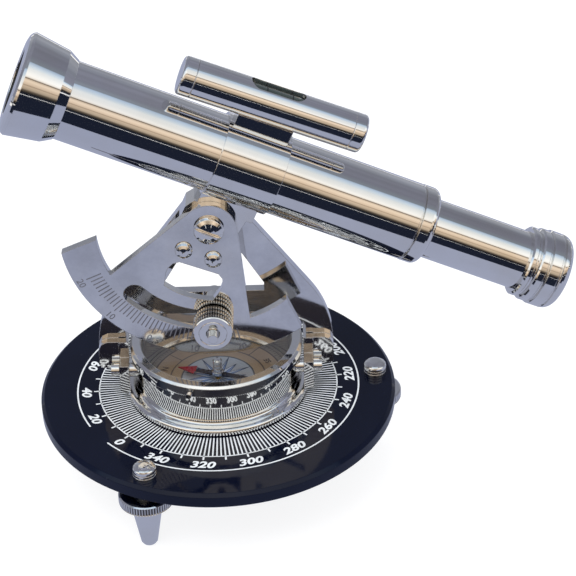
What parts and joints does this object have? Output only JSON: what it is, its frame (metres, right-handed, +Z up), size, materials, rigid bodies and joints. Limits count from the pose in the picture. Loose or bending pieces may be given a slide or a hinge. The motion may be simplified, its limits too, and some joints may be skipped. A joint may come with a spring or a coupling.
{
  "type": "theodolite",
  "caption": "Free-standing desk theodolite: telescope and level tube on a tilting sector, over a compass turret that turns on a round base with levelling screws.",
  "frame": {"origin": "on the turret's vertical turning axis, in the plane of the three foot tips", "axes": "+Z up, +X the way the eyepiece points, -Y the side of the graduated sector"},
  "size_m": [0.1901, 0.127, 0.1697],
  "materials": {
    "base_enamel": "gloss blue-black enamel with a printed white circle",
    "nickel": "mirror-polished nickel plate",
    "nickel_satin": "nickel plate with fine polishing lines",
    "bright_brass": "turned brass",
    "card": "printed compass card",
    "needle": "blued steel needle with a red north end",
    "glass": "clear",
    "gasket": "matt",
    "blackened": "matt black inside the tube",
    "guide": "oiled leather",
    "spirit": "glass vial with green spirit and a bubble"
  },
  "bodies": {
    "base": {"base_plate": "base_enamel"},
    "levelling_screw_1": {"levelling_screw_1": "nickel"},
    "levelling_foot_1": {"levelling_foot_1": "nickel"},
    "levelling_screw_2": {"levelling_screw_2": "nickel"},
    "levelling_foot_2": {"levelling_foot_2": "nickel"},
    "levelling_screw_3": {"levelling_screw_3": "nickel"},
    "levelling_foot_3": {"levelling_foot_3": "nickel"},
    "head": {"azimuth_spindle": "nickel", "spindle_washer": "bright_brass", "spindle_nut": "nickel", "turret_housing": "nickel", "compass_card": "card", "needle_pin": "bright_brass", "glass_gasket": "gasket", "compass_glass": "glass", "bezel_ring": "nickel", "bezel_screw": "nickel", "bracket_left": "nickel", "bracket_right": "nickel", "bracket_screws": "nickel", "frame": "nickel", "frame_screws": "nickel", "clamp_stud": "nickel", "clamp_spacer": "nickel"},
    "needle": {"compass_needle": "needle", "needle_cap": "nickel"},
    "clamp_washer": {"clamp_washer": "bright_brass"},
    "clamp_knob": {"clamp_knob": "nickel"},
    "telescope": {"altitude_axle": "nickel", "axle_washer": "bright_brass", "axle_nut": "nickel", "sector": "nickel_satin", "sector_screws": "nickel", "telescope_bracket": "nickel", "main_barrel": "nickel", "objective_hood": "nickel", "objective_lens": "glass", "lens_retainer": "blackened", "end_collar": "nickel", "level_post": "nickel", "level_casing": "nickel", "level_cap_front": "nickel", "level_cap_rear": "nickel", "level_vial": "spirit"},
    "draw": {"draw_tube": "nickel", "guide_ring": "guide", "eyepiece": "nickel", "eye_lens": "glass", "field_lens": "glass", "reticle": "glass"}
  },
  "joints": [
    {"name": "levelling_travel_1", "type": "slide", "parent": "base", "child": "levelling_screw_1", "axis": [0, 0, 1], "range_m": [-0.0025, 0.00125]},
    {"name": "levelling_turn_1", "type": "hinge", "parent": "levelling_screw_1", "child": "levelling_foot_1", "pos_m": [0.05658, 0.00495, 0.0115], "axis": [0, 0, 1], "range_deg": [-720, 360]},
    {"name": "levelling_travel_2", "type": "slide", "parent": "base", "child": "levelling_screw_2", "axis": [0, 0, 1], "range_m": [-0.0025, 0.00125]},
    {"name": "levelling_turn_2", "type": "hinge", "parent": "levelling_screw_2", "child": "levelling_foot_2", "pos_m": [-0.03258, 0.04653, 0.0115], "axis": [0, 0, 1], "range_deg": [-720, 360]},
    {"name": "levelling_travel_3", "type": "slide", "parent": "base", "child": "levelling_screw_3", "axis": [0, 0, 1], "range_m": [-0.0025, 0.00125]},
    {"name": "levelling_turn_3", "type": "hinge", "parent": "levelling_screw_3", "child": "levelling_foot_3", "pos_m": [-0.024, -0.05148, 0.0115], "axis": [0, 0, 1], "range_deg": [-720, 360]},
    {"name": "azimuth", "type": "hinge", "parent": "base", "child": "head", "pos_m": [0, 0, 0.0295], "axis": [0, 0, 1], "continuous": true},
    {"name": "needle_swing", "type": "hinge", "parent": "head", "child": "needle", "pos_m": [0, 0, 0.0327], "axis": [0, 0, 1], "continuous": true},
    {"name": "clamp_travel", "type": "slide", "parent": "head", "child": "clamp_washer", "axis": [0, -1, 0], "range_m": [0, 0.0007]},
    {"name": "clamp_turn", "type": "hinge", "parent": "clamp_washer", "child": "clamp_knob", "pos_m": [0, -0.0169, 0.0652], "axis": [0, -1, 0], "range_deg": [0, 360]},
    {"name": "altitude", "type": "hinge", "parent": "head", "child": "telescope", "pos_m": [0, 0, 0.1015], "axis": [0, 1, 0], "range_deg": [-49, 5]},
    {"name": "focus", "type": "slide", "parent": "telescope", "child": "draw", "axis": [0.9157, 0, -0.4019], "range_m": [-0.03, 0.015]}
  ],
  "couplings": [
    {"joint": "levelling_turn_1", "follows": "levelling_travel_1", "rad_per_m": 5026.5},
    {"joint": "levelling_turn_2", "follows": "levelling_travel_2", "rad_per_m": 5026.5},
    {"joint": "levelling_turn_3", "follows": "levelling_travel_3", "rad_per_m": 5026.5},
    {"joint": "clamp_turn", "follows": "clamp_travel", "rad_per_m": 8976}
  ]
}
